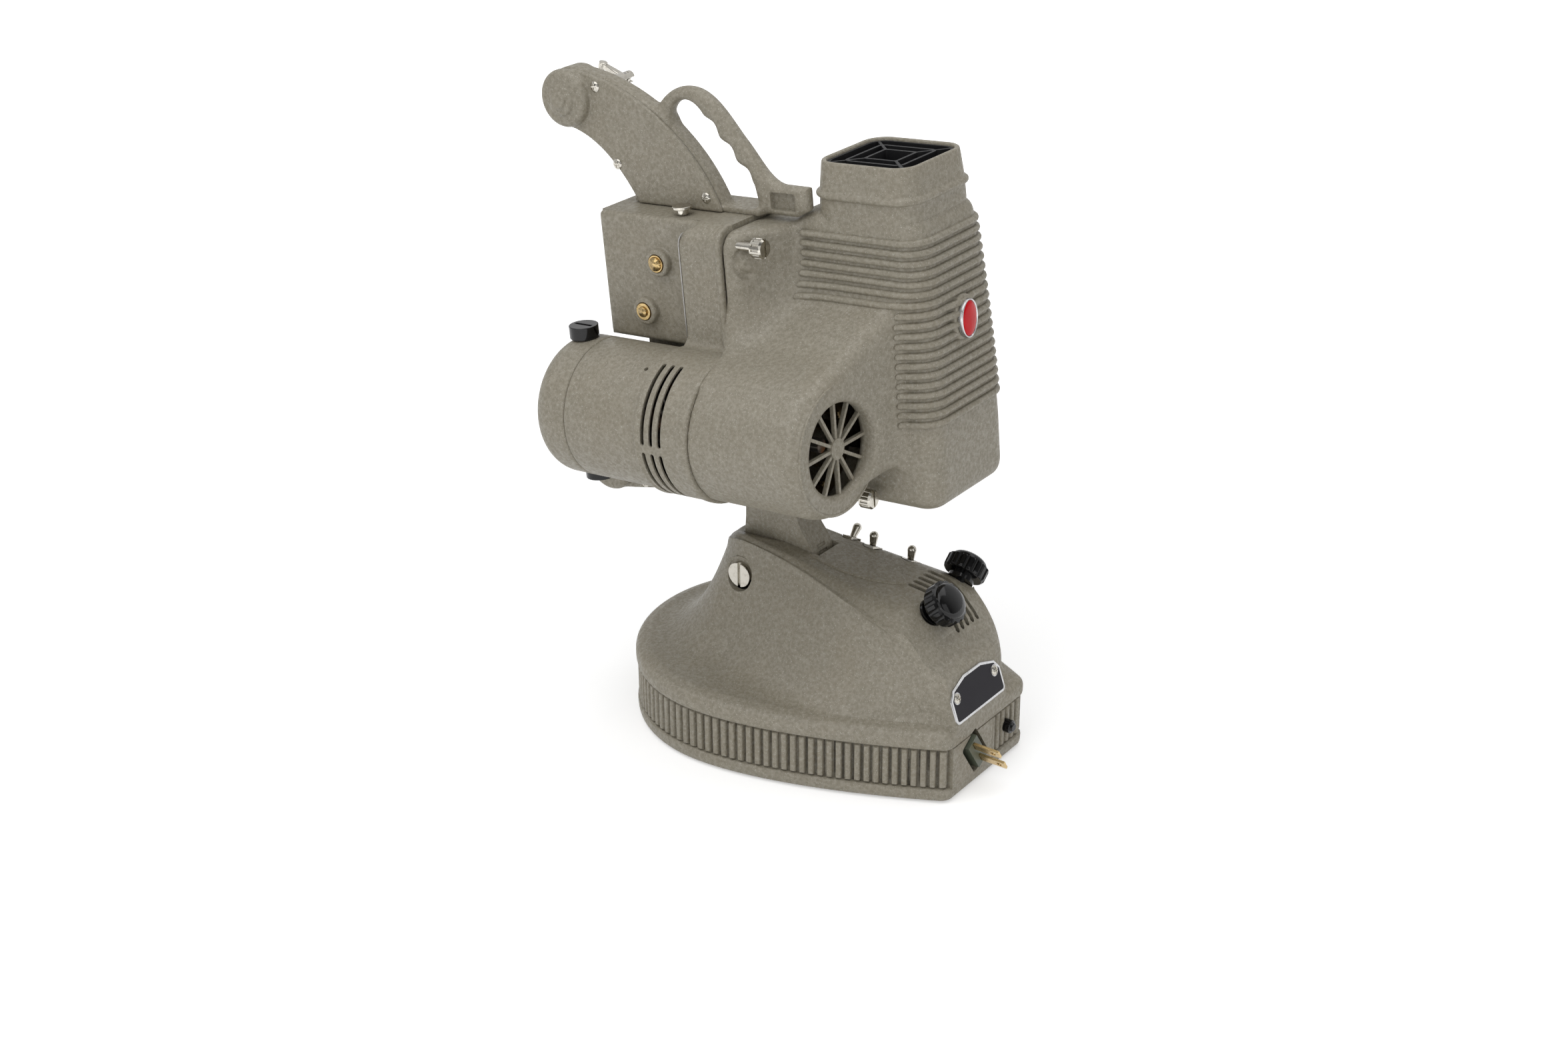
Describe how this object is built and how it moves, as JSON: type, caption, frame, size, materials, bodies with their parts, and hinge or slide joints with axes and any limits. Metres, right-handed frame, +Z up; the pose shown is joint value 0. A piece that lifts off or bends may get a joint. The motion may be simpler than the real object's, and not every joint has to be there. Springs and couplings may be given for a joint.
{
  "type": "film projector",
  "caption": "Home movie projector: tilting head with motor, blower, lamp house and reel arms on a finned cast base with a cord reel",
  "frame": {"origin": "centre of the bounding box in plan, on the table under the feet", "axes": "+Z up, -X towards the lens end, +X towards the plug, -Y the motor side, +Y the film side; the head is in its 5 degree nose-down rest pose"},
  "size_m": [0.323, 0.192, 0.3798],
  "materials": {
    "enamel": "taupe wrinkle enamel on a casting",
    "sheet_steel": "dull sheet steel",
    "rubber": "matt",
    "label_metal": "dark face, bare rim",
    "nickel": "nickel plated",
    "black_plastic": "moulded, glossy",
    "insulation": "moulded",
    "cord": "satin",
    "brass": "dull",
    "rotor_steel": "laminated steel and copper",
    "fan_metal": "lacquered",
    "black_metal": "matt black",
    "badge_red": "glossy red",
    "clear_glass": "clear"
  },
  "bodies": {
    "base": {"base_shell": "enamel", "base_plate": "sheet_steel", "rubber_feet": "rubber", "label_plate": "label_metal", "label_screws": "nickel", "toggle_switches": "nickel", "rheostat": "insulation", "pivot_screw": "nickel"},
    "head": {"neck_arm": "enamel", "gear_case": "enamel", "gear_cover": "enamel", "shaft_bushes": "brass", "supply_arm": "enamel", "supply_arm_plate": "enamel", "take_up_arm": "enamel", "take_up_arm_plate": "enamel", "arm_screws": "nickel", "motor_barrel": "enamel", "motor_end_cap": "enamel", "brush_caps": "black_plastic", "motor_field": "sheet_steel", "lamp_house": "enamel", "inlet_grille": "enamel", "louver": "black_metal", "badge": "badge_red", "lamp_socket": "insulation", "lamp": "clear_glass", "reflector": "nickel", "condenser": "clear_glass", "aperture_plate": "nickel", "pressure_plate": "nickel", "lens_holder": "enamel", "film_rollers": "black_plastic"},
    "tilt_knob": {"tilt_knob": "black_plastic", "tilt_screw": "brass"},
    "speed_knob": {"speed_knob": "black_plastic"},
    "lamp_toggle": {"lamp_toggle": "nickel"},
    "motor_toggle": {"motor_toggle": "nickel"},
    "pilot_toggle": {"pilot_toggle": "nickel"},
    "release_button": {"release_button": "black_plastic"},
    "cord_reel": {"cord_reel": "sheet_steel", "wound_cord": "cord"},
    "plug": {"plug_body": "cord", "plug_blades": "brass", "cord_tail": "cord"},
    "rotor": {"armature": "rotor_steel", "blower_wheel": "fan_metal"},
    "upper_sprocket": {"upper_sprocket": "nickel"},
    "lower_sprocket": {"lower_sprocket": "nickel"},
    "cam_shaft": {"cam_shaft": "nickel"},
    "lens": {"lens_barrel": "black_metal", "lens_glass": "clear_glass"},
    "supply_spindle": {"supply_spindle": "nickel"},
    "supply_latch": {"supply_latch": "nickel"},
    "take_up_spindle": {"take_up_spindle": "nickel"},
    "take_up_latch": {"take_up_latch": "nickel"},
    "rewind_knob": {"rewind_knob": "nickel"},
    "upper_thumb_screw": {"upper_thumb_screw": "nickel"},
    "lower_thumb_screw": {"lower_thumb_screw": "nickel"}
  },
  "joints": [
    {"name": "head_tilt", "type": "hinge", "parent": "base", "child": "head", "pos_m": [-0.01546, 0.0065, 0.095], "axis": [0, 1, 0], "range_deg": [-2, 14]},
    {"name": "tilt_knob_turn", "type": "hinge", "parent": "base", "child": "tilt_knob", "pos_m": [0.10104, 0.0305, 0.094], "axis": [0, 0.7771, 0.6293], "range_deg": [-45, 290]},
    {"name": "speed_knob_turn", "type": "hinge", "parent": "base", "child": "speed_knob", "pos_m": [0.10554, -0.0035, 0.0985], "axis": [0.766, 0, 0.6428], "range_deg": [0, 270]},
    {"name": "lamp_switch_flip", "type": "hinge", "parent": "base", "child": "lamp_toggle", "pos_m": [0.02934, 0.0305, 0.10915], "axis": [1, 0, 0], "range_deg": [0, 34]},
    {"name": "motor_switch_flip", "type": "hinge", "parent": "base", "child": "motor_toggle", "pos_m": [0.04484, 0.0305, 0.10741], "axis": [1, 0, 0], "range_deg": [-34, 0]},
    {"name": "pilot_switch_flip", "type": "hinge", "parent": "base", "child": "pilot_toggle", "pos_m": [0.06914, 0.0345, 0.10349], "axis": [1, 0, 0], "range_deg": [-34, 0]},
    {"name": "release_press", "type": "slide", "parent": "base", "child": "release_button", "axis": [-1, 0, 0], "range_m": [0, 0.0025], "stiffness_N_per_m": 400, "springref_m": -0.001},
    {"name": "reel_turn", "type": "hinge", "parent": "base", "child": "cord_reel", "pos_m": [0.01904, -0.0378, 0.02], "axis": [0, 0, 1], "range_deg": [-25, 0]},
    {"name": "plug_pull", "type": "slide", "parent": "base", "child": "plug", "axis": [1, 0, 0], "range_m": [0, 0.0135]},
    {"name": "motor_turn", "type": "hinge", "parent": "head", "child": "rotor", "pos_m": [-0.02844, -0.0535, 0.20328], "axis": [0.9962, 0, 0.0872], "continuous": true},
    {"name": "upper_sprocket_turn", "type": "hinge", "parent": "head", "child": "upper_sprocket", "pos_m": [-0.05911, 0.0305, 0.28532], "axis": [0, 1, 0], "continuous": true},
    {"name": "lower_sprocket_turn", "type": "hinge", "parent": "head", "child": "lower_sprocket", "pos_m": [-0.05393, 0.0305, 0.22615], "axis": [0, 1, 0], "continuous": true},
    {"name": "cam_turn", "type": "hinge", "parent": "head", "child": "cam_shaft", "pos_m": [-0.06907, 0.0065, 0.25463], "axis": [0, 1, 0], "continuous": true},
    {"name": "lens_focus", "type": "slide", "parent": "head", "child": "lens", "axis": [-0.9962, 0, -0.0872], "range_m": [-0.002, 0.006]},
    {"name": "supply_turn", "type": "hinge", "parent": "head", "child": "supply_spindle", "pos_m": [-0.14125, 0.0305, 0.36255], "axis": [0, 1, 0], "continuous": true},
    {"name": "supply_latch_flip", "type": "hinge", "parent": "supply_spindle", "child": "supply_latch", "pos_m": [-0.14125, 0.0405, 0.36255], "axis": [-0.284, 0, -0.9588], "range_deg": [0, 90]},
    {"name": "take_up_turn", "type": "hinge", "parent": "head", "child": "take_up_spindle", "pos_m": [-0.11816, 0.0305, 0.13872], "axis": [0, 1, 0], "continuous": true},
    {"name": "take_up_latch_flip", "type": "hinge", "parent": "take_up_spindle", "child": "take_up_latch", "pos_m": [-0.11816, 0.0405, 0.13872], "axis": [-0.284, 0, -0.9588], "range_deg": [0, 90]},
    {"name": "rewind_knob_lift", "type": "slide", "parent": "head", "child": "rewind_knob", "axis": [-0.0872, 0, 0.9962], "range_m": [0, 0.004]},
    {"name": "upper_screw_turn", "type": "hinge", "parent": "head", "child": "upper_thumb_screw", "pos_m": [-0.00732, -0.0335, 0.30601], "axis": [0.9962, 0, 0.0872], "continuous": true},
    {"name": "lower_screw_turn", "type": "hinge", "parent": "head", "child": "lower_thumb_screw", "pos_m": [0.06505, -0.0175, 0.16729], "axis": [0.9962, 0, 0.0872], "continuous": true}
  ],
  "couplings": [
    {"joint": "tilt_knob_turn", "follows": "head_tilt", "ratio": 20},
    {"joint": "plug_pull", "follows": "reel_turn", "m_per_rad": -0.0303},
    {"joint": "cam_turn", "follows": "motor_turn", "ratio": 0.125},
    {"joint": "upper_sprocket_turn", "follows": "motor_turn", "ratio": -0.075},
    {"joint": "lower_sprocket_turn", "follows": "motor_turn", "ratio": -0.075}
  ]
}
